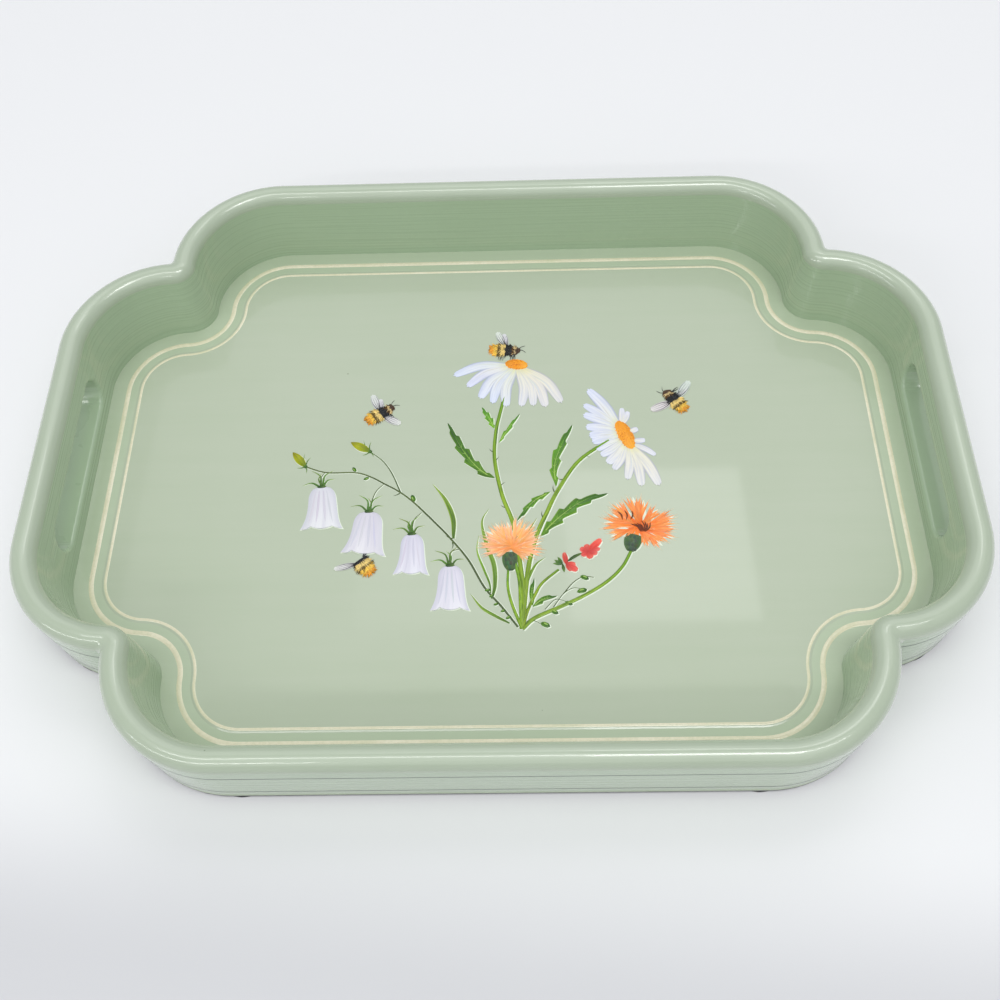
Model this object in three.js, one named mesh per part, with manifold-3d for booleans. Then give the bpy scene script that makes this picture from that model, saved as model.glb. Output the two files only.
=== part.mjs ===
// A lacquered serving tray with a figured outline: a thin floor panel, three stacked wall rings
// (a narrow foot ring, a deep ring with a hand slot in each end, and a ring with a rounded rim),
// and round felt pads underneath.
// Millimetres, +X along the tray, +Y to the back, +Z up. The origin is under the centre of the
// tray, on the surface that it stands on.

import * as THREE from 'three';
import { mergeVertices } from 'three/addons/utils/BufferGeometryUtils.js';
import Module from 'manifold-3d';

// Plan, measured where the wall meets the top of the floor. The outline is the union of two
// rectangles with round corners, with a hollow fillet where they cross.
const END_LOBE = { halfLength: 209, halfWidth: 95, radius: 38.5 };
const SIDE_LOBE = { halfLength: 158, halfWidth: 150.25, radius: 39.5 };
const NOTCH_RADIUS = 14.75;
const NOTCH_RADIUS_LEAST = 3;

// Levels of the stack.
const PAD_THICKNESS = 2;
const FLOOR_THICKNESS = 4;
const FLOOR_TOP = PAD_THICKNESS + FLOOR_THICKNESS;
const FOOT_RING_TOP = FLOOR_TOP + 5;
const SLOT_RING_TOP = FLOOR_TOP + 28;

// Wall section. Both faces lean outwards, and the rim is a half round on top of them.
const RIM_CENTRE_LEVEL = FLOOR_TOP + 36.5;
const RIM_CENTRE_OFFSET = 9.9;
const RIM_RADIUS = 6.1;
const WALL_FOOT_THICKNESS = 14.1;
const FLOOR_EDGE_RADIUS = 1.5;

// Hand slot: a long hole with round ends and softened edges, on the middle of each end.
const SLOT = { halfLength: 48.5, halfHeight: 8.75, level: FLOOR_TOP + 16.75, edgeRadius: 1.75 };

// Felt pads, one under each of the eight lobes, just inside the edge of the floor panel.
const PAD_RADIUS = 15;
const PAD_EDGE_OFFSET = 14;
const SIDE_PAD_X = 115;
const END_PAD_ANGLE = THREE.MathUtils.degToRad(60);

// Facets per round stretch.
const LOBE_STEPS = 9;
const NOTCH_STEPS = 7;
const RIM_STEPS = 10;
const SLOT_END_STEPS = 8;
const SLOT_EDGE_STEPS = 3;
const PAD_SIDES = 24;

const wasm = await Module();
wasm.setup();

const lacquer = { color: 0xb4c4a8, roughness: 0.22, metalness: 0 };
const material = {
  floor: new THREE.MeshStandardMaterial({ ...lacquer, color: 0xbccab2 }),
  foot: new THREE.MeshStandardMaterial({ ...lacquer, color: 0x9db294 }),
  wall: new THREE.MeshStandardMaterial({ ...lacquer, color: 0xa3b89a }),
  rim: new THREE.MeshStandardMaterial(lacquer),
  felt: new THREE.MeshStandardMaterial({ color: 0x17181a, roughness: 0.95, metalness: 0 }),
};

// Points of an arc about a centre, both ends included.
function arc(centre, radius, from, to, steps) {
  const points = [];
  for (let i = 0; i <= steps; i += 1) {
    const angle = from + ((to - from) * i) / steps;
    points.push(new THREE.Vector2(
      centre.x + radius * Math.cos(angle),
      centre.y + radius * Math.sin(angle),
    ));
  }
  return points;
}

// Centre of the hollow fillet that touches both lobe arcs of the first quarter from outside.
function notchCentre(endCentre, endReach, sideCentre, sideReach) {
  const between = sideCentre.clone().sub(endCentre);
  const distance = between.length();
  const along = (endReach ** 2 - sideReach ** 2 + distance ** 2) / (2 * distance);
  const aside = Math.sqrt(endReach ** 2 - along ** 2);
  between.normalize();
  return new THREE.Vector2(
    endCentre.x + between.x * along + between.y * aside,
    endCentre.y + between.y * along - between.x * aside,
  );
}

// Quarter of the outline from the end (+X) to the back (+Y), grown outwards by an offset.
function quarterOutline(offset) {
  const notch = Math.max(NOTCH_RADIUS - offset, NOTCH_RADIUS_LEAST);
  const endRadius = END_LOBE.radius + offset;
  const sideRadius = SIDE_LOBE.radius + offset;
  const endCentre = new THREE.Vector2(
    END_LOBE.halfLength - END_LOBE.radius,
    END_LOBE.halfWidth - END_LOBE.radius,
  );
  const sideCentre = new THREE.Vector2(
    SIDE_LOBE.halfLength - SIDE_LOBE.radius,
    SIDE_LOBE.halfWidth - SIDE_LOBE.radius,
  );
  const centre = notchCentre(endCentre, endRadius + notch, sideCentre, sideRadius + notch);
  const endAngle = centre.clone().sub(endCentre).angle();
  const sideAngle = centre.clone().sub(sideCentre).angle();
  const turned = sideAngle > Math.PI ? sideAngle - 2 * Math.PI : sideAngle;
  return [
    ...arc(endCentre, endRadius, 0, endAngle, LOBE_STEPS),
    ...arc(centre, notch, endAngle + Math.PI, turned + Math.PI, NOTCH_STEPS).slice(1, -1),
    ...arc(sideCentre, sideRadius, turned, Math.PI / 2, LOBE_STEPS),
  ];
}

// Whole outline, anticlockwise: the quarter and its three mirror images.
function outline(offset) {
  const quarter = quarterOutline(offset);
  const half = [...quarter, ...quarter.map((p) => new THREE.Vector2(-p.x, p.y)).reverse()];
  return [...half, ...half.map((p) => new THREE.Vector2(p.x, -p.y)).reverse()];
}

// Closed surface through loops of equally many points. Without caps the last loop joins the first.
function loft(loops, cap) {
  const count = loops[0].length;
  const positions = loops.flat().flatMap((p) => [p.x, p.y, p.z]);
  const indices = [];
  const bands = cap ? loops.length - 1 : loops.length;
  for (let k = 0; k < bands; k += 1) {
    const low = k * count;
    const high = ((k + 1) % loops.length) * count;
    for (let i = 0; i < count; i += 1) {
      const j = (i + 1) % count;
      indices.push(low + i, low + j, high + j, low + i, high + j, high + i);
    }
  }
  if (cap) {
    const top = (loops.length - 1) * count;
    for (const [a, b, c] of THREE.ShapeUtils.triangulateShape(cap, [])) {
      indices.push(a, c, b, top + a, top + b, top + c);
    }
  }
  const geometry = new THREE.BufferGeometry();
  geometry.setAttribute('position', new THREE.Float32BufferAttribute(positions, 3));
  geometry.setIndex(indices);
  return geometry;
}

function loopAt({ offset, level }) {
  return outline(offset).map((p) => new THREE.Vector3(p.x, p.y, level));
}

// Offsets of the leaning inner and outer wall faces at a level.
function innerOffset(level) {
  const lean = RIM_CENTRE_OFFSET - RIM_RADIUS;
  return (lean * (level - FLOOR_TOP)) / (RIM_CENTRE_LEVEL - FLOOR_TOP);
}

function outerOffset(level) {
  const lean = RIM_CENTRE_OFFSET + RIM_RADIUS - WALL_FOOT_THICKNESS;
  return WALL_FOOT_THICKNESS + (lean * (level - FLOOR_TOP)) / (RIM_CENTRE_LEVEL - FLOOR_TOP);
}

// Ring of the wall between two levels. The section runs up the outer face and down the inner one.
function wallRing(bottom, top) {
  return loft([
    { offset: outerOffset(bottom), level: bottom },
    { offset: outerOffset(top), level: top },
    { offset: innerOffset(top), level: top },
    { offset: innerOffset(bottom), level: bottom },
  ].map(loopAt));
}

function rimRing(bottom) {
  const section = [{ offset: outerOffset(bottom), level: bottom }];
  for (let i = 0; i <= RIM_STEPS; i += 1) {
    const angle = (Math.PI * i) / RIM_STEPS;
    section.push({
      offset: RIM_CENTRE_OFFSET + RIM_RADIUS * Math.cos(angle),
      level: RIM_CENTRE_LEVEL + RIM_RADIUS * Math.sin(angle),
    });
  }
  section.push({ offset: innerOffset(bottom), level: bottom });
  return loft(section.map(loopAt));
}

// Floor panel, as wide as the wall's foot, with its lower edge rounded.
function floorPanel() {
  const edge = WALL_FOOT_THICKNESS - FLOOR_EDGE_RADIUS;
  const section = [];
  for (const angle of [-90, -60, -30, 0].map(THREE.MathUtils.degToRad)) {
    section.push({
      offset: edge + FLOOR_EDGE_RADIUS * Math.cos(angle),
      level: PAD_THICKNESS + FLOOR_EDGE_RADIUS * (1 + Math.sin(angle)),
    });
  }
  section.push({ offset: WALL_FOOT_THICKNESS, level: FLOOR_TOP });
  return loft(section.map(loopAt), outline(edge));
}

// Loop round the hand slot, in the plane of the end wall, grown by an amount.
function slotOutline(grow) {
  const radius = SLOT.halfHeight + grow;
  const reach = SLOT.halfLength - SLOT.halfHeight;
  const right = new THREE.Vector2(reach, SLOT.level);
  const left = new THREE.Vector2(-reach, SLOT.level);
  return [
    ...arc(right, radius, -Math.PI / 2, Math.PI / 2, SLOT_END_STEPS),
    ...arc(left, radius, Math.PI / 2, (3 * Math.PI) / 2, SLOT_END_STEPS),
  ];
}

// Cutter for the slot at the +X end: it widens in a quarter round towards each wall face.
function slotCutter() {
  const stations = [{ grow: SLOT.edgeRadius, depth: -1 }];
  for (let i = 0; i <= SLOT_EDGE_STEPS; i += 1) {
    const angle = (Math.PI / 2) * (i / SLOT_EDGE_STEPS);
    stations.push({
      grow: SLOT.edgeRadius * (1 - Math.sin(angle)),
      depth: SLOT.edgeRadius * (1 - Math.cos(angle)),
    });
  }
  const inner = stations.map(({ grow, depth }) => slotOutline(grow).map(
    (p) => new THREE.Vector3(END_LOBE.halfLength + innerOffset(p.y) + depth, p.x, p.y),
  ));
  const outer = stations.map(({ grow, depth }) => slotOutline(grow).map(
    (p) => new THREE.Vector3(END_LOBE.halfLength + outerOffset(p.y) - depth, p.x, p.y),
  ));
  return loft([...inner, ...outer.reverse()], slotOutline(0));
}

function toSolid(geometry) {
  const bare = geometry.clone();
  bare.deleteAttribute('normal');
  bare.deleteAttribute('uv');
  const merged = mergeVertices(bare, 1e-5);
  return new wasm.Manifold(new wasm.Mesh({
    numProp: 3,
    vertProperties: new Float32Array(merged.attributes.position.array),
    triVerts: new Uint32Array(merged.index.array),
  }));
}

function toGeometry(solid) {
  const mesh = solid.getMesh();
  const geometry = new THREE.BufferGeometry();
  geometry.setAttribute('position', new THREE.BufferAttribute(mesh.vertProperties, 3));
  geometry.setIndex(new THREE.BufferAttribute(mesh.triVerts, 1));
  return geometry;
}

// Deep wall ring with a hand slot through each end.
function slotRing() {
  const cutter = slotCutter();
  const right = toSolid(cutter);
  const left = toSolid(cutter.clone().rotateZ(Math.PI));
  const ring = toSolid(wallRing(FOOT_RING_TOP, SLOT_RING_TOP));
  return toGeometry(ring.subtract(right).subtract(left));
}

function feltPad() {
  const geometry = new THREE.CylinderGeometry(PAD_RADIUS, PAD_RADIUS, PAD_THICKNESS, PAD_SIDES);
  return geometry.rotateX(Math.PI / 2).translate(0, 0, PAD_THICKNESS / 2);
}

function piece(name, geometry, finish) {
  const mesh = new THREE.Mesh(geometry, finish);
  mesh.name = name;
  return mesh;
}

const tray = new THREE.Group();
tray.add(piece('floor_panel', floorPanel(), material.floor));
tray.add(piece('wall_foot_ring', wallRing(FLOOR_TOP, FOOT_RING_TOP), material.foot));
tray.add(piece('wall_slot_ring', slotRing(), material.wall));
tray.add(piece('wall_rim_ring', rimRing(SLOT_RING_TOP), material.rim));

// Pads under the side lobes sit on the straight edge, those under the end lobes on the curve.
const sidePad = new THREE.Vector2(SIDE_PAD_X, SIDE_LOBE.halfWidth + PAD_EDGE_OFFSET - PAD_RADIUS);
const endPadReach = END_LOBE.radius + PAD_EDGE_OFFSET - PAD_RADIUS;
const endPad = new THREE.Vector2(
  END_LOBE.halfLength - END_LOBE.radius + endPadReach * Math.cos(END_PAD_ANGLE),
  END_LOBE.halfWidth - END_LOBE.radius + endPadReach * Math.sin(END_PAD_ANGLE),
);
for (const [lobe, place] of [['side', sidePad], ['end', endPad]]) {
  for (const [row, y] of [['front', -place.y], ['back', place.y]]) {
    for (const [hand, x] of [['left', -place.x], ['right', place.x]]) {
      const pad = piece(`felt_pad_${row}_${hand}_${lobe}`, feltPad(), material.felt);
      pad.position.set(x, y, 0);
      tray.add(pad);
    }
  }
}

export default tray;
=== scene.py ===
"""Looks of a figured lacquered tray, painted with a spray of wild flowers and bumblebees.

Lengths are millimetres in the tray's own frame: +X along the tray, +Y to the back, +Z up, with
the origin under the centre of the tray. They become metres where the meshes are made.
"""

import math
import random

import bmesh
import bpy
from mathutils import Matrix, Vector


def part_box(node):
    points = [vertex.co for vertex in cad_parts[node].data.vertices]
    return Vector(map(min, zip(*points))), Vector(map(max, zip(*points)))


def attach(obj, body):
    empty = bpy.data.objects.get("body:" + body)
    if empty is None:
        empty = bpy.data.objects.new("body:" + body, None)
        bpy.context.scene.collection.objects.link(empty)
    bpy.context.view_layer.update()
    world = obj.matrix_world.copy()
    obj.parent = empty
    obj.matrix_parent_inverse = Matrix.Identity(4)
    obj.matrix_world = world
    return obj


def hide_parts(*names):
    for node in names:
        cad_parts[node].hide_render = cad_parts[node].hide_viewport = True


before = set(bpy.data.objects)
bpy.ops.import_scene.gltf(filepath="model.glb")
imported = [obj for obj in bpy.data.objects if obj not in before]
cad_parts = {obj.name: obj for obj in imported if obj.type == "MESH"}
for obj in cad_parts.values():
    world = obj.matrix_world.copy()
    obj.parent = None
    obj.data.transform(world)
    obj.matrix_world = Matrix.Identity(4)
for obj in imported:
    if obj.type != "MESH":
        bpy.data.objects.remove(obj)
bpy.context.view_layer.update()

MM = 0.001
random.seed(7)

# Levels and reaches of the tray, from the frame.
FLOOR_LOW, FLOOR_HIGH = (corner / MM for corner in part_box("floor_panel"))
SLOT_LOW, SLOT_HIGH = (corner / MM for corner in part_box("wall_slot_ring"))
RIM_LOW, RIM_HIGH = (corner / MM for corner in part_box("wall_rim_ring"))
FLOOR_TOP = FLOOR_HIGH.z

# Wall section: both faces lean outwards, under a half-round rim.
RIM_RADIUS = 6.1
RIM_STEPS = 28
RIM_CENTRE_OFFSET = 9.9
RIM_CENTRE_LEVEL = RIM_HIGH.z - RIM_RADIUS
WALL_FOOT = 14.1
FLOOR_EDGE_RADIUS = 1.5
SEAM_CHAMFER = 0.3
SEAM_HALF_WIDTH = 0.42
SEAM_DEPTH = 0.8
SEAM_PROUD = 0.04
INNER_LAP = 0.05
BLACK_EDGE = 0.7
PAD_STEPS = 72

# Plan at the foot of the wall: two rectangles with round corners, and a hollow where they cross.
RIM_REACH = RIM_CENTRE_OFFSET + RIM_RADIUS
END_LOBE = {"reach": Vector((RIM_HIGH.x - RIM_REACH, 95)), "radius": 38.5}
SIDE_LOBE = {"reach": Vector((158, RIM_HIGH.y - RIM_REACH)), "radius": 39.5}
NOTCH_RADIUS = 14.75
NOTCH_RADIUS_LEAST = 3

# Hand slot: a long hole with round ends and softened edges.
SLOT_HALF_LENGTH = 48.5
SLOT_HALF_HEIGHT = 8.75
SLOT_LEVEL = FLOOR_TOP + 16.75
SLOT_EDGE_RADIUS = 1.75

# Painted floor: a raised field inside two cream lines.
FIELD_HEIGHT = 0.2
FIELD_TOP = FLOOR_TOP + FIELD_HEIGHT
FIELD_SHOULDER = (-13.72, -14.72)
BROAD_LINE = {"offset": -8.65, "width": 2.6, "height": 0.22}
FINE_LINE = {"offset": -15.6, "width": 1.5, "height": 0.12}


def srgb(red, green, blue):
    """Linear colour of display values from 0 to 255."""
    def linear(value):
        value /= 255
        return value / 12.92 if value <= 0.04045 else ((value + 0.055) / 1.055) ** 2.4
    return (linear(red), linear(green), linear(blue), 1.0)


# --- Materials -------------------------------------------------------------------------------


class Shader:
    """Node material round a Principled shader, whose plain values sit on its own sockets."""

    def __init__(self, name, **values):
        self.material = bpy.data.materials.new(name)
        self.material.use_nodes = True
        self.tree = self.material.node_tree
        self.principled = self.tree.nodes["Principled BSDF"]
        for socket, value in values.items():
            self.principled.inputs[socket.replace("_", " ")].default_value = value

    def node(self, kind, **settings):
        made = self.tree.nodes.new("ShaderNode" + kind)
        for key, value in settings.items():
            setattr(made, key, value)
        return made

    def feed(self, socket, value):
        """Set a socket to a plain value, or link it to another node's output."""
        if isinstance(value, bpy.types.NodeSocket):
            self.tree.links.new(value, socket)
        else:
            socket.default_value = value

    def place(self):
        return self.node("TexCoord").outputs["Object"]

    def stretched(self, vector, scale):
        mapping = self.node("Mapping")
        self.feed(mapping.inputs["Vector"], vector)
        mapping.inputs["Scale"].default_value = scale
        return mapping.outputs["Vector"]

    def noise(self, vector, scale=1.0, detail=2.0, roughness=0.5):
        made = self.node("TexNoise")
        self.feed(made.inputs["Vector"], vector)
        made.inputs["Scale"].default_value = scale
        made.inputs["Detail"].default_value = detail
        made.inputs["Roughness"].default_value = roughness
        return made.outputs["Fac"]

    def cells(self, vector, scale, output="Distance"):
        made = self.node("TexVoronoi")
        self.feed(made.inputs["Vector"], vector)
        made.inputs["Scale"].default_value = scale
        return made.outputs[output]

    def math(self, operation, *values):
        made = self.node("Math", operation=operation)
        for socket, value in zip(made.inputs, values):
            self.feed(socket, value)
        return made.outputs[0]

    def between(self, value, low, high, to_low=0.0, to_high=1.0):
        """Value mapped from one range to another, smoothly, and held at the ends."""
        made = self.node("MapRange", interpolation_type="SMOOTHSTEP")
        for socket, number in zip(made.inputs, (value, low, high, to_low, to_high)):
            self.feed(socket, number)
        return made.outputs["Result"]

    def mix(self, factor, first, second, blend="MIX"):
        made = self.node("Mix", data_type="RGBA", blend_type=blend)
        self.feed(made.inputs["Factor"], factor)
        self.feed(made.inputs[6], first)
        self.feed(made.inputs[7], second)
        return made.outputs[2]

    def ramp(self, value, stops):
        made = self.node("ValToRGB")
        elements = made.color_ramp.elements
        while len(elements) < len(stops):
            elements.new(0.5)
        for element, (position, colour) in zip(elements, stops):
            element.position = position
            element.color = colour
        self.feed(made.inputs["Fac"], value)
        return made.outputs["Color"]

    def colour(self, value):
        self.feed(self.principled.inputs["Base Color"], value)

    def roughness(self, value):
        self.feed(self.principled.inputs["Roughness"], value)

    def bump(self, *layers):
        """Bumps on top of each other, each a height, how deep it is in metres, and its strength."""
        normal = None
        for height, depth, strength in layers:
            made = self.node("Bump")
            made.inputs["Strength"].default_value = strength
            made.inputs["Distance"].default_value = depth
            self.feed(made.inputs["Height"], height)
            if normal:
                self.feed(made.inputs["Normal"], normal)
            normal = made.outputs["Normal"]
        self.feed(self.principled.inputs["Normal"], normal)


def lacquer(name, light, dark, streak, roughness=0.1, gloss=1.0):
    """Gloss sage lacquer: cloudy colour, brush marks drawn out along the streak scale, a few specks."""
    shader = Shader(name, Specular_IOR_Level=0.5, Coat_Weight=gloss, Coat_Roughness=0.05)
    place = shader.place()
    cloud = shader.noise(place, 9, 4, 0.6)
    marks = shader.noise(shader.stretched(place, streak), 1, 5, 0.65)
    cloud_share = shader.math("MULTIPLY", cloud, 0.55)
    tone = shader.math("ADD", cloud_share, shader.math("MULTIPLY", marks, 0.45))
    colour = shader.ramp(tone, [(0.3, dark), (0.7, light)])
    spot = shader.between(shader.cells(place, 52), 0.018, 0.03, 1.0, 0.0)
    rare = shader.between(shader.noise(place, 31, 1), 0.6, 0.64)
    speck = shader.math("MULTIPLY", shader.math("MULTIPLY", spot, rare), 0.55)
    shader.colour(shader.mix(speck, colour, srgb(96, 112, 84)))
    shader.roughness(shader.between(marks, 0.2, 0.8, roughness, roughness + 0.06))
    peel = shader.noise(place, 420, 2)
    shader.bump((marks, 0.00005, 0.35), (peel, 0.00004, 0.3))
    return shader.material


def seam_filler():
    """Lacquer sunk into a joint, darker where dust has settled in it."""
    shader = Shader("seam filler", Specular_IOR_Level=0.3)
    dust = shader.noise(shader.place(), 60, 4, 0.7)
    shader.colour(shader.ramp(dust, [(0.35, srgb(92, 98, 96)), (0.7, srgb(124, 131, 123))]))
    shader.roughness(shader.between(dust, 0.3, 0.7, 0.4, 0.6))
    shader.bump((dust, 0.00005, 0.3))
    return shader.material


def underside_lacquer():
    shader = Shader("underside black lacquer", Specular_IOR_Level=0.5)
    place = shader.place()
    cloud = shader.noise(place, 14, 4)
    rub = shader.noise(shader.stretched(place, (40, 600, 40)), 1, 3)
    shader.colour(shader.ramp(cloud, [(0.3, srgb(16, 17, 17)), (0.75, srgb(34, 34, 33))]))
    shader.roughness(shader.between(rub, 0.25, 0.75, 0.28, 0.46))
    shader.bump((rub, 0.00006, 0.3))
    return shader.material


def felt():
    shader = Shader("black felt", Specular_IOR_Level=0.2, Sheen_Weight=0.35, Sheen_Roughness=0.5)
    place = shader.place()
    fibres = shader.noise(shader.stretched(place, (900, 900, 2600)), 1, 6, 0.75)
    tufts = shader.noise(place, 700, 4, 0.7)
    shader.colour(shader.ramp(fibres, [(0.3, srgb(9, 9, 10)), (0.75, srgb(33, 33, 35))]))
    shader.roughness(shader.between(tufts, 0.2, 0.8, 0.86, 0.98))
    shader.bump((fibres, 0.0004, 0.8), (tufts, 0.0006, 0.6))
    return shader.material


def cream_enamel():
    shader = Shader("cream enamel line", Specular_IOR_Level=0.5, Coat_Weight=0.3, Coat_Roughness=0.05)
    place = shader.place()
    load = shader.noise(place, 46, 4, 0.65)
    hairs = shader.noise(place, 900, 3, 0.6)
    stops = [(0.32, srgb(211, 210, 178)), (0.5, srgb(222, 216, 188)), (0.7, srgb(231, 225, 201))]
    thin = shader.between(hairs, 0.35, 0.75, 0.0, 0.35)
    shader.colour(shader.mix(thin, shader.ramp(load, stops), srgb(192, 196, 160)))
    shader.roughness(shader.between(load, 0.3, 0.7, 0.16, 0.26))
    shader.bump((hairs, 0.00006, 0.4))
    return shader.material


def paint(name, stops, shade, shade_share=0.5, edge=None, edge_share=0.6, grain=(7, 1.2), roughness=0.2):
    """Enamel of the flower painting, in display colours from 0 to 255.

    The stops run along each stroke, and bristle marks let the shade through.
    """
    shader = Shader(name, Specular_IOR_Level=0.3, Coat_Weight=0.12, Coat_Roughness=0.06)
    stroke_place = shader.node("UVMap", uv_map="stroke").outputs["UV"]
    seed = shader.node("Attribute", attribute_name="seed").outputs["Fac"]
    tint = shader.node("Attribute", attribute_name="tint").outputs["Color"]
    split = shader.node("SeparateXYZ")
    shader.feed(split.inputs[0], stroke_place)
    across, along = split.outputs["X"], split.outputs["Y"]
    local = shader.node("CombineXYZ")
    shader.feed(local.inputs["X"], shader.math("MULTIPLY", across, grain[0]))
    shader.feed(local.inputs["Y"], shader.math("MULTIPLY", along, grain[1]))
    shader.feed(local.inputs["Z"], shader.math("MULTIPLY", seed, 53.0))
    bristle = shader.noise(local.outputs["Vector"], 1, 4, 0.6)
    base = shader.ramp(along, [(place, srgb(*colour)) for place, colour in stops])
    colour = shader.mix(shader.between(bristle, 0.42, 0.68, 0.0, shade_share), base, srgb(*shade))
    if edge:
        side = shader.math("ABSOLUTE", shader.math("SUBTRACT", across, 0.5))
        colour = shader.mix(shader.between(side, 0.3, 0.48, 0.0, edge_share), colour, srgb(*edge))
    shader.colour(shader.mix(1.0, colour, tint, "MULTIPLY"))
    shader.roughness(shader.between(bristle, 0.3, 0.7, roughness, roughness + 0.1))
    shader.bump((bristle, 0.00012, 0.5))
    return shader.material


# --- Meshes ----------------------------------------------------------------------------------


def arc(centre, radius, start, end, steps):
    angles = (start + (end - start) * i / steps for i in range(steps + 1))
    return [centre + radius * Vector((math.cos(a), math.sin(a))) for a in angles]


def notch_centre(end_centre, end_reach, side_centre, side_reach):
    """Centre of the hollow that touches both lobe arcs of the first quarter from outside."""
    between = side_centre - end_centre
    distance = between.length
    along = (end_reach ** 2 - side_reach ** 2 + distance ** 2) / (2 * distance)
    aside = math.sqrt(end_reach ** 2 - along ** 2)
    between.normalize()
    return end_centre + between * along + Vector((between.y, -between.x)) * aside


def outline(offset, steps=20):
    """Anticlockwise outline of the tray, grown outwards by an offset from the foot of the wall."""
    notch = max(NOTCH_RADIUS - offset, NOTCH_RADIUS_LEAST)
    end_radius = END_LOBE["radius"] + offset
    side_radius = SIDE_LOBE["radius"] + offset
    end_centre = END_LOBE["reach"] - Vector((1, 1)) * END_LOBE["radius"]
    side_centre = SIDE_LOBE["reach"] - Vector((1, 1)) * SIDE_LOBE["radius"]
    centre = notch_centre(end_centre, end_radius + notch, side_centre, side_radius + notch)
    end_angle = math.atan2(*(centre - end_centre).yx)
    side_angle = math.atan2(*(centre - side_centre).yx)
    quarter = arc(end_centre, end_radius, 0, end_angle, steps)
    quarter += arc(centre, notch, end_angle + math.pi, side_angle + math.pi, steps)[1:-1]
    quarter += arc(side_centre, side_radius, side_angle, math.pi / 2, steps)
    half = quarter + [Vector((-p.x, p.y)) for p in reversed(quarter)]
    return half + [Vector((p.x, -p.y)) for p in reversed(half)]


def loft(name, loops, closed=True):
    """Mesh through loops of equally many points. Without closing, both end loops are filled."""
    count = len(loops[0])
    points = [Vector(p) * MM for loop in loops for p in loop]
    bands = len(loops) if closed else len(loops) - 1
    faces = []
    for k in range(bands):
        low = k * count
        high = ((k + 1) % len(loops)) * count
        for i in range(count):
            j = (i + 1) % count
            faces.append((low + i, low + j, high + j, high + i))
    if not closed:
        top = (len(loops) - 1) * count
        faces.append(tuple(reversed(range(count))))
        faces.append(tuple(range(top, top + count)))
    mesh = bpy.data.meshes.new(name)
    mesh.from_pydata(points, [], faces)
    return mesh


def around(section):
    """Loops of the tray's outline, one for each offset and level of a section."""
    return [[(p.x, p.y, level) for p in outline(offset)] for offset, level in section]


def show(name, mesh, *materials, smooth_angle=35):
    """Add a mesh to the scene with smooth shading up to an angle, riding on the tray."""
    made = bpy.data.objects.new(name, mesh)
    bpy.context.scene.collection.objects.link(made)
    for material in materials:
        mesh.materials.append(material)
    mesh.shade_smooth()
    mesh.set_sharp_from_angle(angle=math.radians(smooth_angle))
    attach(made, "root")
    return made


def show_ring(name, section, *materials, **settings):
    return show(name, loft(name, around(section)), *materials, **settings)


def inner_offset(level):
    lean = RIM_CENTRE_OFFSET - RIM_RADIUS
    return lean * (level - FLOOR_TOP) / (RIM_CENTRE_LEVEL - FLOOR_TOP)


def outer_offset(level):
    lean = RIM_CENTRE_OFFSET + RIM_RADIUS - WALL_FOOT
    return WALL_FOOT + lean * (level - FLOOR_TOP) / (RIM_CENTRE_LEVEL - FLOOR_TOP)


def ring_foot(low):
    """Start of a ring's section: its inner edge, then its outer one, eased so that the seam shows faintly."""
    ease = SEAM_CHAMFER
    return [
        (inner_offset(low), low - INNER_LAP),
        (outer_offset(low) - ease, low),
        (outer_offset(low + ease), low + ease),
    ]


def ring_section(low, high):
    ease = SEAM_CHAMFER
    return ring_foot(low) + [
        (outer_offset(high - ease), high - ease),
        (outer_offset(high) - ease, high),
        (inner_offset(high), high),
    ]


def rim_section():
    section = ring_foot(RIM_LOW.z)
    for i in range(RIM_STEPS + 1):
        angle = math.pi * i / RIM_STEPS
        section.append((
            RIM_CENTRE_OFFSET + RIM_RADIUS * math.cos(angle),
            RIM_CENTRE_LEVEL + RIM_RADIUS * math.sin(angle),
        ))
    return section


def slot_outline(grow):
    radius = SLOT_HALF_HEIGHT + grow
    reach = SLOT_HALF_LENGTH - SLOT_HALF_HEIGHT
    quarter = math.pi / 2
    points = arc(Vector((reach, SLOT_LEVEL)), radius, -quarter, quarter, 20)
    return points + arc(Vector((-reach, SLOT_LEVEL)), radius, quarter, 3 * quarter, 20)


def slot_cutter():
    """Cutter for the slot at the +X end, which widens in a quarter round towards both wall faces."""
    stations = [(SLOT_EDGE_RADIUS, -1.0)]
    for i in range(8):
        angle = math.pi / 2 * i / 7
        stations.append((
            SLOT_EDGE_RADIUS * (1 - math.sin(angle)),
            SLOT_EDGE_RADIUS * (1 - math.cos(angle)),
        ))
    end = END_LOBE["reach"].x
    inner = [[(end + inner_offset(p.y) + depth, p.x, p.y) for p in slot_outline(grow)]
             for grow, depth in stations]
    outer = [[(end + outer_offset(p.y) - depth, p.x, p.y) for p in slot_outline(grow)]
             for grow, depth in stations]
    return loft("slot cutter", inner + outer[::-1], closed=False)


def cut_slots(ring):
    """Cut both hand slots, then weight the normals so that the flat wall stays flat to its edge."""
    cutters = []
    for turn in (0, math.pi):
        cutter = bpy.data.objects.new("slot cutter", slot_cutter())
        bpy.context.scene.collection.objects.link(cutter)
        cutter.rotation_euler.z = turn
        cutters.append(cutter)
        cut = ring.modifiers.new("slot", "BOOLEAN")
        cut.operation = "DIFFERENCE"
        cut.solver = "EXACT"
        cut.object = cutter
    weighted = ring.modifiers.new("flat walls", "WEIGHTED_NORMAL")
    weighted.keep_sharp = True
    bpy.context.view_layer.update()
    evaluated = ring.evaluated_get(bpy.context.evaluated_depsgraph_get())
    cut_mesh = bpy.data.meshes.new_from_object(evaluated)
    ring.modifiers.clear()
    ring.data = cut_mesh
    for cutter in cutters:
        bpy.data.objects.remove(cutter)


# --- Tray ------------------------------------------------------------------------------------


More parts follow.
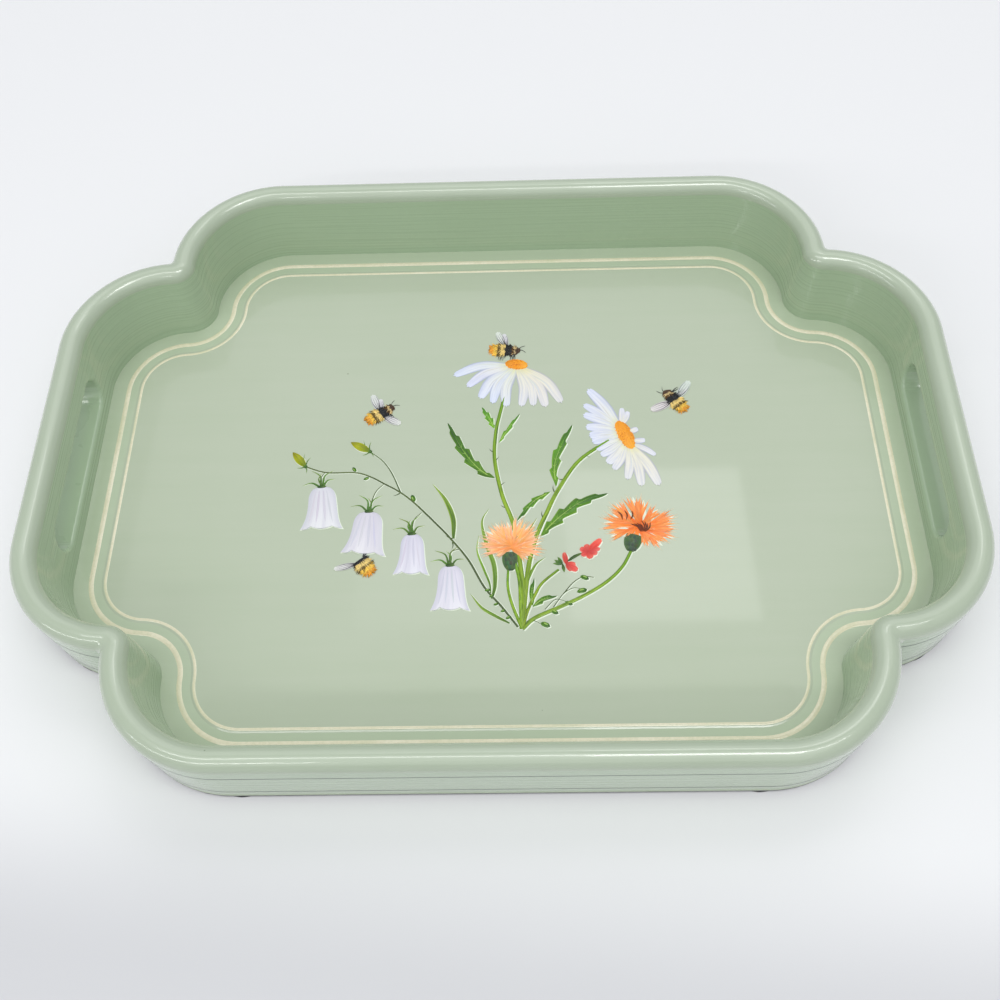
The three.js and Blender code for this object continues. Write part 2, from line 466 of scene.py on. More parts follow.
def build_walls():
    # Wall and rim take copies of one sage lacquer. The wall's is a little darker than the floor's, a painted
    # shade on the upright faces; the rim's is greyer, a painted sheen of its reflections.
    wall = lacquer("wall lacquer with painted shade", srgb(167, 188, 157), srgb(161, 182, 150), (7, 7, 900), 0.25, 0.8)
    rim = lacquer("rim lacquer with painted sheen", srgb(174, 186, 165), srgb(167, 180, 157), (30, 30, 240), 0.22)
    foot = show_ring("wall_foot", ring_section(FLOOR_TOP, SLOT_LOW.z), wall)
    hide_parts("wall_foot_ring")
    middle = show_ring("wall_middle", ring_section(SLOT_LOW.z, SLOT_HIGH.z), wall)
    cut_slots(middle)
    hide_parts("wall_slot_ring")
    top = show_ring("wall_rim", rim_section(), rim, wall)
    # Faces below the middle of the rim take the wall lacquer, so the rim's greyer painted sheen stays on its
    # upper half.
    for face in top.data.polygons:
        if face.center.z < RIM_CENTRE_LEVEL * MM:
            face.material_index = 1
    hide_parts("wall_rim_ring")
    gap = seam_filler()
    upper = show_ring("seam_upper", seam_section(SLOT_HIGH.z), gap)
    lower = show_ring("seam_lower", seam_section(SLOT_LOW.z), gap)


def seam_section(level):
    """Filled joint between two rings, which shows as a fine dark line round the outside."""
    low, high = level - SEAM_HALF_WIDTH, level + SEAM_HALF_WIDTH
    return [
        (outer_offset(low) - SEAM_DEPTH, low),
        (outer_offset(low) + SEAM_PROUD / 2, low),
        (outer_offset(level) + SEAM_PROUD, level),
        (outer_offset(high) + SEAM_PROUD / 2, high),
        (outer_offset(high) - SEAM_DEPTH, high),
    ]


def round_off(u):
    """Change to a straight slope, from 0 to 1, that eases it into the level at both ends."""
    start, end = max(0.14 - u, 0) / 0.14, max(u - 0.86, 0) / 0.14
    return 0.08 * ((1 - start) ** 2 - 1) * (start > 0) - 0.08 * ((1 - end) ** 2 - 1) * (end > 0)


def build_floor():
    ground = lacquer("floor lacquer", srgb(178, 192, 165), srgb(171, 186, 157), (9, 160, 9), 0.5, 0.6)
    black = underside_lacquer()
    edge = WALL_FOOT - FLOOR_EDGE_RADIUS
    section = []
    for degrees in range(-90, 1, 15):
        angle = math.radians(degrees)
        section.append((
            edge + FLOOR_EDGE_RADIUS * math.cos(angle),
            FLOOR_LOW.z + FLOOR_EDGE_RADIUS * (1 + math.sin(angle)),
        ))
    # Black lacquer covers the floor's rounded lower edge and runs BLACK_EDGE up its side, a thin black line
    # along the foot.
    black_top = FLOOR_LOW.z + FLOOR_EDGE_RADIUS + BLACK_EDGE
    section.append((WALL_FOOT, black_top))
    section.append((WALL_FOOT, FLOOR_TOP - SEAM_CHAMFER))
    section.append((WALL_FOOT - SEAM_CHAMFER, FLOOR_TOP))
    panel = show("floor", loft("floor", around(section), closed=False), ground, black)
    for face in panel.data.polygons:
        if face.center.z < black_top * MM:
            face.material_index = 1
    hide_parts("floor_panel")

    pale = lacquer("field lacquer", srgb(178, 188, 166), srgb(172, 184, 159), (7, 120, 7), 0.45, 0.75)
    outer, inner = FIELD_SHOULDER
    section = []
    for i in range(21):
        u = i / 20
        rise = 0.5 + min(max((u - 0.5) / 0.86, -0.42), 0.42) + round_off(u)
        section.append((outer + (inner - outer) * u, FLOOR_TOP + FIELD_HEIGHT * rise))
    mesh = loft("floor_field", around(section), closed=False)
    field = show("floor_field", mesh, pale, smooth_angle=60)

    cream = cream_enamel()
    broad = show_ring("cream_line_broad", line_section(FLOOR_TOP, **BROAD_LINE), cream)
    fine = show_ring("cream_line_fine", line_section(FIELD_TOP, **FINE_LINE), cream)


def line_section(level, offset, width, height):
    """Painted line: a low bead that follows the outline."""
    section = []
    for i in range(9):
        side = 1 - i / 4
        section.append((offset + side * width / 2, level - 0.02 + (height + 0.02) * (1 - side ** 2)))
    section.append((offset, level - 0.05))
    return section


def build_pads():
    cloth = felt()
    for node in sorted(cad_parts):
        if not node.startswith("felt_pad"):
            continue
        low, high = (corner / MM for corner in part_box(node))
        centre = (low + high) / 2
        radius = (high.x - low.x) / 2
        profile = [(0.2, low.z), (radius - 0.5, low.z), (radius - 0.12, low.z + 0.25), (radius, low.z + 0.9),
                   (radius - 0.05, high.z - 0.3), (radius - 0.25, high.z), (0.2, high.z)]
        loops = []
        for reach, level in profile:
            ring = []
            for i in range(PAD_STEPS):
                angle = math.tau * i / PAD_STEPS
                fray = 0.12 * math.sin(11 * angle + centre.x) * math.sin(5 * angle + centre.y)
                frayed = reach - abs(fray) * reach / radius
                ring.append((centre.x + frayed * math.cos(angle), centre.y + frayed * math.sin(angle), level))
            loops.append(ring)
        pad = show("pad_" + node.removeprefix("felt_pad_"), loft(node, loops, closed=False), cloth)
        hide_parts(node)


# --- Painting --------------------------------------------------------------------------------
# Every stroke is a low dome of enamel on the raised field, given by the route of its middle.

BASE = (11, -87)
WHITE = (1, 1, 1)


def curve_through(points, count):
    """Evenly spaced points on a smooth curve through the given ones."""
    knots = [Vector(p) for p in points]
    if len(knots) == 2:
        knots.insert(1, (knots[0] + knots[1]) / 2)
    knots = [2 * knots[0] - knots[1]] + knots + [2 * knots[-1] - knots[-2]]
    dense = []
    for a, b, c, d in zip(knots, knots[1:], knots[2:], knots[3:]):
        for i in range(12):
            t = i / 12
            bend = (2 * a - 5 * b + 4 * c - d) * t ** 2 + (3 * b - a - 3 * c + d) * t ** 3
            dense.append((2 * b + (c - a) * t + bend) / 2)
    dense.append(knots[-2])
    reached = [0.0]
    for p, q in zip(dense, dense[1:]):
        reached.append(reached[-1] + (q - p).length)
    even = []
    k = 0
    for i in range(count + 1):
        target = reached[-1] * i / count
        while k < len(dense) - 2 and reached[k + 1] < target:
            k += 1
        share = (target - reached[k]) / max(reached[k + 1] - reached[k], 1e-9)
        even.append(dense[k].lerp(dense[k + 1], share))
    return even


def route_length(points):
    return sum((Vector(q) - Vector(p)).length for p, q in zip(points, points[1:]))


def aim(degrees, length=1.0):
    angle = math.radians(degrees)
    return Vector((math.cos(angle), math.sin(angle))) * length


def arched(start, end, bend):
    """Route from start to end whose middle is pushed to its left by a share of its length."""
    start, end = Vector(start), Vector(end)
    across = end - start
    return [start, (start + end) / 2 + Vector((-across.y, across.x)) * bend, end]


# Widths of a stroke, as shares of its greatest one, at a share t of its length. Side is -1 or 1.

def even_width(t, side):
    return 1.0


def stem_width(t, side):
    """A stem, given from its flower down to its root, gets a little wider."""
    return 0.7 + 0.3 * t


def hair_width(t, side):
    return max(1 - t, 0) ** 0.8


def blade_width(t, side):
    return max(math.sin(math.pi * (0.06 + 0.94 * t)), 0) ** 0.8


def oval_width(t, side):
    return math.sqrt(max(1 - (2 * t - 1) ** 2, 0))


def petal_width(t, side):
    """Narrow at the disc, widest past the middle, and blunt at the tip."""
    return 0.4 + 0.6 * math.sin(math.pi * min(0.85 * t + 0.04, 0.5)) - 0.7 * max(t - 0.8, 0)


def spike_width(t, side):
    return math.sin(math.pi * min(0.12 + 0.88 * t, 1)) ** 0.9 * (1 - 0.35 * t)


def toothed(teeth, depth=0.56):
    """Width of a leaf with teeth that point to its tip, other ones on each side."""
    def width(t, side):
        belly = max(math.sin(math.pi * t ** 0.85), 0) ** 0.75
        tooth = (t * teeth + 0.45 * (side > 0)) % 1.0
        return belly * (1 - depth + depth * min(tooth, 8 * (1 - tooth)) ** 1.2)
    return width


def bell_width(t, side):
    dome = math.sqrt(max(1 - (1 - min(t / 0.28, 1)) ** 2, 0))
    return 0.2 + 0.38 * dome + 0.14 * t + 0.24 * t ** 5


def cup_width(t, side):
    """An urn: a small round foot, a belly past the middle and a mouth drawn in a little."""
    return math.sqrt(max(math.sin(math.pi * (0.04 + 0.76 * t)), 0)) * (0.9 + 0.1 * t)


def blunt(side):
    """Reach of a petal's tip: round, with two little notches."""
    return 1 - 0.17 * abs(side) ** 2.4 - 0.05 * max(math.cos(3 * math.pi * side + math.pi), 0)


def pointed(side):
    return 1.0


def bell_lip(side):
    """Reach of a bell's lip: points at both sides and a round lobe between two notches."""
    return 0.93 + 0.06 * abs(math.cos(math.pi * side)) ** 0.8 + 0.01 * side * side


class Coat:
    """One coat of enamel: strokes gathered in a single mesh."""

    def __init__(self, name, material, base_level=FIELD_TOP):
        self.name = name
        self.material = material
        self.level = base_level
        self.points = []
        self.faces = []
        self.places = []
        self.tints = []
        self.seeds = []

    def stroke(self, route, width, shape=even_width, height=0.2, lift=0.0, tint=WHITE, tip=pointed,
               rows=None, columns=6):
        rows = rows or max(5, min(56, round(route_length(route) / 0.8)))
        spine = curve_through(route, rows * 2)
        seed = random.random()
        first = len(self.points)
        sides = [-1.0] + [-1 + 2 * j / columns for j in range(columns + 1)] + [1.0]
        steps = [0.0] + [i / rows for i in range(rows + 1)] + [1.0]
        for i, t in enumerate(steps):
            for j, side in enumerate(sides):
                rim = i in (0, len(steps) - 1) or j in (0, len(sides) - 1)
                share = shape(t, side)
                middle, across = self.at(spine, min(t * tip(side), 1.0) if t else 0.0)
                spot = middle + across * side * share * width / 2
                rise = height * (1 - side * side) * math.sqrt(max(share, 0))
                level = self.level - 0.02 if rim else self.level + 0.01 + lift + rise
                self.points.append(Vector((spot.x, spot.y, level)) * MM)
                self.places.append(((side + 1) / 2, t))
                self.tints.append((*tint, 1.0))
                self.seeds.append(seed)
        span = len(sides)
        for i in range(len(steps) - 1):
            for j in range(span - 1):
                a = first + i * span + j
                self.faces.append((a, a + span, a + span + 1, a + 1))

    @staticmethod
    def at(spine, share):
        """Point on a spine and the direction across it."""
        place = share * (len(spine) - 1)
        k = min(int(place), len(spine) - 2)
        ahead = spine[min(k + 2, len(spine) - 1)] - spine[max(k - 1, 0)]
        ahead.normalize()
        return spine[k].lerp(spine[k + 1], place - k), Vector((ahead.y, -ahead.x))

    def oval(self, centre, length, width, turn=0, **settings):
        half = aim(turn, length / 2)
        centre = Vector(centre)
        self.stroke([centre - half, centre + half], width, oval_width, **settings)

    def finish(self):
        mesh = bpy.data.meshes.new(self.name)
        mesh.from_pydata(self.points, [], self.faces)
        layer = mesh.uv_layers.new(name="stroke")
        for loop in mesh.loops:
            layer.data[loop.index].uv = self.places[loop.vertex_index]
        tint = mesh.attributes.new("tint", "FLOAT_COLOR", "POINT")
        tint.data.foreach_set("color", [value for colour in self.tints for value in colour])
        seed = mesh.attributes.new("seed", "FLOAT", "POINT")
        seed.data.foreach_set("value", self.seeds)
        made = show(self.name, mesh, self.material, smooth_angle=60)
        return made


def shifted(route, x, y):
    return [Vector(p) + Vector((x, y)) for p in route]


def pale_edge_highlight(coats, route, move, width, shape, height, **settings):
    """Raised edge of a stroke with a painted highlight: a low pale stroke under it, moved a little aside,
    whose pale colour stands in for light caught by the raised edge.
    """
    coats["lift"].stroke(shifted(route, *move), width, shape, height, **settings)


def near(spread=0.06):
    """Tint close to white, for strokes of slightly different load."""
    return tuple(1 + random.uniform(-spread, spread) for _ in range(3))


DISC_FLORETS = 120
GOLDEN_ANGLE = 137.5
DISC_TONES = ((1.1, 1.15, 1.3), (1.0, 0.85, 0.7), (0.86, 0.62, 0.4), (1.05, 1.0, 0.9))


def paint_daisy(petals, shades, discs, centre, radii, turn, tips, bend):
    """Ray petals from a tilted disc to the given tips, then the disc of small florets over them."""
    centre = Vector(centre)
    axis, side = aim(turn), aim(turn + 90)
    for tip, width, tint in tips:
        tip = Vector(tip)
        away = (tip - centre).normalized()
        root = centre + axis * away.dot(axis) * radii[0] * 0.8 + side * away.dot(side) * radii[1] * 0.8
        route = arched(root, tip, bend(tip - centre))
        lift = random.uniform(0.05, 0.16)
        petals.stroke(route, width, petal_width, 0.22, lift, tint, blunt, columns=8)
        k = random.choice((-0.16, 0.16))
        fold = [Vector(p) + Vector((-away.y, away.x)) * k * width for p in route]
        fold = [fold[0].lerp(fold[1], 0.4), fold[1], fold[1].lerp(fold[2], random.uniform(0.3, 0.7))]
        shades.stroke(fold, width * 0.1, blade_width, 0.03, lift + 0.2, near(0.03))
    discs.oval(centre, radii[0] * 2, radii[1] * 2, turn, height=0.5, lift=0.1, columns=10, rows=16)
    for i in range(DISC_FLORETS):
        reach = math.sqrt((i + 0.5) / DISC_FLORETS)
        spot = aim(i * GOLDEN_ANGLE, reach)
        grain = centre + axis * spot.x * radii[0] * 0.97 + side * spot.y * radii[1] * 0.97
        tone = random.choice(DISC_TONES)
        rise = 0.1 + 0.5 * (1 - reach ** 2)
        discs.oval(grain, 0.95, 0.7, i * GOLDEN_ANGLE, height=0.14, lift=rise, tint=tone, rows=4, columns=4)


def paint_upper_daisy(petals, shades, discs):
    tips = []
    cool, warm = (0.94, 0.96, 1.06), (1.02, 0.98, 0.88)
    for i in range(9):
        x = -24 + 7.1 * i + random.uniform(-0.8, 0.8)
        steep = 0.0155 if x < 12 else 0.007
        y = 39.5 + steep * (x - 12) ** 2 + random.uniform(-1.2, 1.2)
        share = min(max((x + 4) / 26, 0), 1)
        tint = tuple(c + (w - c) * share + random.uniform(-0.02, 0.02) for c, w in zip(cool, warm))
        tips.append(((x, y), random.uniform(5.4, 6.6), tint))
    random.shuffle(tips)

    def arch(reach):
        return 0.1 if reach.x > 0 else -0.1

    paint_daisy(petals, shades, discs, (9.5, 68), (6.2, 3.7), -8, tips, arch)


def paint_right_daisy(petals, shades, discs):
    tips = []
    centre = Vector((65.5, 21.5))
    for i in range(13):
        degrees = 120 + i * 14.8 + random.uniform(-2, 2)
        length = min(17.5 + 19 * abs((degrees - 205) / 87) ** 2.2, 35)
        warm = min(max((degrees - 200) / 80, 0), 1)
        tint = (0.95 + 0.06 * warm, 0.97 + 0.01 * warm, 1.06 - 0.16 * warm)
        tips.append((centre + aim(degrees, length), random.uniform(5.0, 6.4), tint))
    for degrees, length in ((92, 17), (80, 15), (28, 8), (-18, 11), (-40, 20)):
        tips.append((centre + aim(degrees, length), 3.6, (0.98, 0.97, 1.0)))

    def arch(reach):
        return 0.05 if reach.y < -10 else -0.03

    paint_daisy(petals, shades, discs, centre, (9.8, 4.3), -69, tips, arch)


STEMS = (
    # route from the flower down, and the width at its foot
    (((3, 47), (0.5, 36), (-1.5, 25), (-2.2, 8), (1.5, -13), (6.5, -28), (9, -42), (12, -70), BASE), 2.5),
    (((57, 18.5), (41, 6), (30, -11), (24, -24), (19, -36), (15, -51), (12.5, -70), BASE), 2.6),
    (((65, -46), (60, -55), (52, -63), (41, -70), (30, -75.5), (17, -81.5), BASE), 2.2),
    (((4.5, -55), (4.3, -65), (6.5, -75), BASE), 1.7),
    (((29, -56), (21, -63), (17.5, -69), (13.5, -78), BASE), 1.8),
    (((8, -52), (10, -62), (10.5, -74), BASE), 2.4),
)
FINE_STEMS = (
    (((-100, 5.4), (-89, 1.6), (-74, 1.3), (-66, -1.3), (-58, -6), (-50, -11), (-42, -18), (-30, -31),
      (-24, -38), (-15, -50), (-7, -65), (1, -75), (9, -86)), 1.15),
    (((-67, 14), (-60, 8), (-55, 0.5), (-50, -11)), 0.7),
    (((-89.5, 2), (-91.5, -2), (-90.5, -6)), 0.6),
    (((-59, -6), (-63, -11), (-65.5, -21)), 0.6),
    (((-39, -23), (-42.5, -27), (-43.5, -34)), 0.6),
    (((-19.5, -44), (-23.5, -45.5), (-24.5, -52)), 0.6),
    (((46, -60.5), (41, -60), (36, -63), (31, -69)), 0.6),
    (((41, -67), (36, -66), (31, -69), (26, -76)), 0.5),
    (((32, -73), (27, -72), (22, -77)), 0.45),
    (((21, -85.5), (17, -83), (13, -83)), 0.45),
)
BLADES = (
    # route from the tip to the root, and the width
    (((-34, -6), (-27, -16), (-23, -27), (-22.6, -38)), 3.0),
    (((-5, -21), (-8.5, -29), (-6, -42), (-2.5, -53), (-2, -64), (-3.5, -71)), 2.7),
    (((-10, -36), (-10.8, -45), (-7.5, -55), (-4.7, -62.5), (-4, -68)), 1.3),
    (((-14, -68), (-8.5, -75.5), (-2, -80), (5, -84)), 1.9),
    (((23, -49), (18, -53), (14.5, -60), (13, -66)), 1.7),
    (((19, -27), (15, -34), (12, -42)), 1.3),
)
LEAVES = (
    # route from the root to the tip, width, teeth and depth of tint
    (((-2, -3.5), (-8, 0), (-15, 8), (-21, 18), (-27, 31)), 7.5, 4.5, 0.72),
    (((29, -9), (28.5, 3), (32, 15), (38.5, 28.5)), 6.4, 3.5, 1.0),
    (((26, -12), (17, -18), (9, -28.5)), 4.4, 3.5, 0.95),
    (((20.5, -37.5), (29, -28), (41, -18.5), (55, -13.5)), 8.4, 4.5, 0.85),
    (((-2.5, 27), (-5, 33), (-9, 40.5)), 4.6, 3.5, 1.45),
    (((0, 18), (4, 25), (11, 36)), 3.0, 2.5, 1.35),
    (((16, -75), (15.8, -68), (17, -60.5)), 3.4, 1.2, 0.85),
    (((16, -75.5), (21, -72), (28, -70)), 4.0, 1.2, 0.75),
)
THORNS = (
    # foot and heading
    (-2, 12, 140), (-1.8, 6, 60), (0.5, -9, 50), (4.5, -21, 155), (43, 9, -12), (33, -5, 160),
    (22, -27, 95), (-50, -11, 205), (-23, -38, 150), (-23, -40, 265), (14, -52, 60), (28, -12, 95),
)
BUDLETS = (
    # middle, heading and length
    (-74.5, 3.2, 125, 3.4), (-68, -2.4, 205, 3.2), (-43.5, -14.5, 112, 4.4), (41.5, -60.5, -25, 4.6),
    (40, -67.5, 15, 5.2), (33.5, -74, -25, 4.0), (26.5, -78.5, -28, 4.2), (22, -85, -25, 5.0),
    (-5.5, -66.5, 12, 3.0), (-3.5, -69.5, 30, 3.0), (-1.5, -74, 20, 2.6), (2, -77.5, 20, 2.8),
    (4.5, -81, 28, 3.0),
)


def paint_greens(coats):
    for route, width in STEMS:
        coats["stems"].stroke(route, width, stem_width, 0.4, 0.03, near())
        pale_edge_highlight(coats, route, (0.3, -0.3), width + 0.5, stem_width, 0.08)
    for route, width in FINE_STEMS:
        coats["fine_stems"].stroke(route, width, stem_width, 0.22, 0.02, near(), columns=4)
        pale_edge_highlight(coats, route, (0.28, -0.2), width + 0.35, stem_width, 0.06, columns=4)
    for route, width in BLADES:
        coats["blades"].stroke(route[::-1], width, spike_width, 0.28, 0.05, near(0.1))
        pale_edge_highlight(coats, route[::-1], (0.35, -0.15), width + 0.4, spike_width, 0.08)
    for route, width, teeth, tone in LEAVES:
        edge = toothed(teeth)
        coats["leaves"].stroke(route, width, edge, 0.32, 0.07, (tone, tone, tone * 0.95), rows=56, columns=10)
        pale_edge_highlight(coats, route, (0.35, -0.35), width + 0.5, edge, 0.08, rows=56)
        inner = curve_through(route, 10)[1:9]
        coats["ribs"].stroke(inner, 0.5, hair_width, 0.1, 0.36, near())
        for k in range(1, 6):
            for turn in (38, -38):
                ahead = (inner[k + 1] - inner[k]).normalized()
                heading = math.degrees(math.atan2(ahead.y, ahead.x)) + turn
                vein = arched(inner[k], inner[k] + aim(heading, width * 0.34), 0.1)
                coats["ribs"].stroke(vein, 0.28, hair_width, 0.05, 0.3, near(), rows=5, columns=4)
    for x, y, heading in THORNS:
        thorn = arched((x, y), Vector((x, y)) + aim(heading, 4.2), 0.1)
        coats["fine_stems"].stroke(thorn, 0.75, hair_width, 0.15, 0.02, (0.8, 0.85, 0.8), columns=4)
    for x, y, heading, length in BUDLETS:
        coats["leaves"].oval((x, y), length, length * 0.52, heading, height=0.3, lift=0.08,
                             tint=(0.6, 0.64, 0.6))
        # Pale low oval under the budlet: a painted highlight of its raised edge.
        coats["lift"].oval((x + 0.35, y - 0.3), length + 0.3, length * 0.56, heading, height=0.08)
        shine = Vector((x, y)) + aim(heading + 90, length * 0.08)
        coats["ribs"].oval(shine, length * 0.5, length * 0.14, heading, height=0.06, lift=0.36)


BELLS = (
    # top, middle of the lip and width of the lip
    ((-90.6, -7), (-89, -31.5), 22.5),
    ((-65.6, -22), (-67.4, -46), 23.5),
    ((-43.4, -35.2), (-43.2, -57.5), 18.5),
    ((-24, -53), (-23.6, -77), 20),
)


def paint_bells(coats):
    for top, lip, width in BELLS:
        top, lip = Vector(top), Vector(lip)
        route = [top, (top + lip) / 2 + Vector((0.4, 0)), lip]
        coats["bells"].stroke(route, width, bell_width, 0.75, 0.06, near(0.02), bell_lip, rows=40, columns=32)
        pale_edge_highlight(coats, route, (0.35, -0.45), width + 0.5, bell_width, 0.12, tip=bell_lip,
                  rows=40, columns=32)
        down = (lip - top).normalized()
        across = Vector((-down.y, down.x))
        for k in (-0.3, -0.12, 0.1, 0.27):
            start = top + down * 2.5 + across * k * width * 0.42
            end = lip - down * 3.2 + across * k * width * 0.95
            fold = [start, (start + end) / 2 - across * k * 1.2, end]
            rise = 0.72 * (1 - 4 * k * k)
            coats["bell_folds"].stroke(fold, width * 0.055, blade_width, 0.06, rise, near(0.04))
        for sides in ((-0.94, -0.75, -0.56), (-0.42, 0, 0.42), (0.56, 0.75, 0.94)):
            edge = []
            for side in sides:
                short = (lip - top) * (1.01 - bell_lip(side))
                edge.append(lip + across * side * width * 0.46 - short)
            coats["bell_lips"].stroke(edge, 0.6, blade_width, 0.12, 0.3)
        coats["sepals"].oval(top, 4.6, 1.9, 5, height=0.35, lift=0.45, tint=(0.35, 0.42, 0.4))
        for heading, length in ((168, 9), (124, 10.5), (97, 7.5), (62, 10.5), (28, 7)):
            heading += random.uniform(-9, 9)
            start = top + aim(heading, 1.0)
            bend = 0.22 if heading < 95 else -0.22
            sepal = arched(start, start + aim(heading, length), bend)
            coats["sepals"].stroke(sepal, 1.25, hair_width, 0.2, 0.1, near(0.15), columns=4)
            pale_edge_highlight(coats, sepal, (0.25, -0.1), 1.2, hair_width, 0.06, columns=4)


def paint_buds(coats):
    for root, tip, width in (((-100, 5.5), (-107.5, 14.5), 4.4), ((-67, 14), (-77.5, 20), 4.6)):
        root, tip = Vector(root), Vector(tip)
        coats["buds"].stroke([root, tip], width, blade_width, 0.45, 0.06, rows=14, columns=8)
        pale_edge_highlight(coats, [root, tip], (0.3, -0.3), width + 0.4, blade_width, 0.08)
        heading = math.degrees(math.atan2(*(tip - root).yx))
        for turn, side in ((2, -0.9), (-2, 0.9), (0, 0)):
            start = root + aim(heading, 2) + aim(heading + 90, side)
            coats["bud_stripes"].stroke([start, start + aim(heading + turn, 7)], 0.4, blade_width, 0.06,
                                        0.42 - 0.12 * abs(side), columns=4)
        for turn, length in ((60, 4.5), (-32, 8), (-62, 6), (150, 4)):
            sepal = arched(root, root + aim(heading + turn, length), 0.1)
            coats["sepals"].stroke(sepal, 0.8, hair_width, 0.18, 0.1, (0.85, 0.9, 0.8), columns=4)
        coats["sepals"].oval(root, 2.4, 2.0, heading, height=0.4, lift=0.12, tint=(0.5, 0.6, 0.5))


def paint_floret(coat, hairs, root, heading, length, spread, spikes, width, tone, lift):
    """A fan of pointed lobes out of one tube, each with a paler hair past its tip."""
    root = Vector(root)
    throat = root + aim(heading, length * 0.36)
    for k in range(spikes):
        turn = heading + spread * (k / (spikes - 1) - 0.5) + random.uniform(-4, 4)
        reach = length * random.uniform(0.48, 0.64)
        tip = throat + aim(turn, reach)
        bright = tone * random.uniform(0.86, 1.12)
        tint = (bright, bright * random.uniform(0.9, 1.08), bright * random.uniform(0.85, 1.15))
        coat.stroke([root, throat, tip], width, spike_width, 0.26, lift + 0.04 * k, tint, rows=12)
        hair = arched(throat.lerp(tip, 0.55), throat + aim(turn, reach * 1.22), random.uniform(-0.1, 0.1))
        hairs.stroke(hair, 0.42, hair_width, 0.06, lift + 0.03, near(0.05), rows=6, columns=4)


# Florets of both thistles: heading and length.
PEACH = ((186, 14), (165, 16), (142, 17), (120, 17.5), (98, 16), (74, 17.5), (52, 17.5), (32, 17), (12, 16),
         (-12, 15), (-36, 11), (208, 9))
ORANGE = ((168, 19), (148, 16), (128, 19), (98, 19), (80, 17), (48, 15), (20, 19), (2, 18), (-20, 18),
          (-44, 15), (-70, 11), (-112, 9), (196, 16))


def paint_thistles(coats):
    # The pale low strokes under the florets carry a painted highlight of their raised edges.
    hairs, lift = coats["floret_hairs"], coats["lift"]
    coat = coats["peach_florets"]
    for heading, length in PEACH:
        tone = 1.08 if 40 < heading < 150 else 0.95
        paint_floret(coat, hairs, (6, -44), heading, length, 42, 5, 2.3, tone, 0.3)
        tip = Vector((6.3, -43.8)) + aim(heading, length * 0.95)
        lift.stroke([(6.2, -43.7), tip], 5.2, spike_width, 0.1)
    for heading in range(0, 181, 30):
        paint_floret(coat, hairs, (6, -43), heading, 8, 60, 4, 1.8, 0.9, 0.42)
    coat = coats["orange_florets"]
    for heading, length in ORANGE:
        paint_floret(coat, hairs, (69.5, -33.5), heading, length, 46, 7, 2.3, 1.0, 0.08)
        tip = Vector((70, -33.8)) + aim(heading, length * 0.97)
        lift.stroke([(69.8, -33.8), tip], 5.4, spike_width, 0.1)
    for heading in (150, 95, 40, -5, -60, 215):
        paint_floret(coat, hairs, (69.5, -33), heading, 9, 60, 5, 2.0, 0.9, 0.3)
    for k in range(11):
        start, lean = (70.2 + 0.3 * k, -36), 138 - 11 * k
        if k >= 8:
            start, lean = (45.5 + 2 * k, -29), 260 - 18 * k
        stamen = arched(start, Vector(start) + aim(lean, random.uniform(4.6, 6.8)), -0.16)
        coats["stamens"].stroke(stamen, 0.65, blade_width, 0.1, 0.75, near(0.2), rows=8, columns=4)
    paint_calyx(coats, (5.4, -51.2), 92, 10, 8)
    paint_calyx(coats, (65.6, -42), 75, 9.5, 9)


def paint_calyx(coats, centre, heading, length, width):
    """Scaly cup under a thistle: a dark oval with rows of overlapping scales."""
    centre = Vector(centre)
    route = [centre - aim(heading, length / 2), centre + aim(heading, length / 2)]
    coats["calyces"].stroke(route, width, cup_width, 0.7, 0.12, rows=20, columns=12)
    pale_edge_highlight(coats, route, (0.4, -0.4), width + 0.6, cup_width, 0.1)
    for row in range(4):
        for k in range(4):
            side = (k - 1.75 + 0.5 * (row % 2)) / 2.2
            place = (row - 1.5) / 4.6
            reach = width * 0.42 * side * cup_width(place + 0.5, side)
            spot = centre + aim(heading, length * place) + aim(heading + 90, reach)
            rise = 0.12 + 0.6 * max(1 - side * side, 0)
            coats["calyces"].oval(spot, length * 0.26, width * 0.2, heading + 14 * side, height=0.14,
                                  lift=rise, tint=near(0.35), rows=6, columns=4)


def paint_red_flowers(coats):
    """Two small ruffled flowers on one side stem."""
    for centre, petals in (
        ((33, -53), ((100, 6.5, 2.6), (-35, 6.5, 3.6), (-5, 4.5, 3.0), (-62, 4.5, 2.4))),
        ((43.5, -46.5), ((45, 10, 3.6), (95, 4.2, 3.4), (150, 4.2, 3.2), (-10, 5.0, 3.2), (-65, 4.2, 3.6),
                         (215, 3.8, 3.0), (15, 6.5, 2.6))),
    ):
        for heading, length, width in petals:
            tip = Vector(centre) + aim(heading, length)
            coats["red_petals"].stroke([centre, tip], width, petal_width, 0.34, random.uniform(0.06, 0.2),
                                       near(0.12), blunt)
            pale_edge_highlight(coats, [centre, tip], (0.35, -0.4), width + 0.5, petal_width, 0.1, tip=blunt)
    for heading in (150, 175, 120, -80):
        route = [(31, -53), Vector((31, -53)) + aim(heading, 4.6)]
        coats["sepals"].stroke(route, 1.5, blade_width, 0.24, 0.14, (0.5, 0.62, 0.55))
    route = [(33.5, -51.5), (37, -49), (41, -47)]
    coats["sepals"].stroke(route, 1.5, blade_width, 0.25, 0.24, (0.4, 0.45, 0.4))


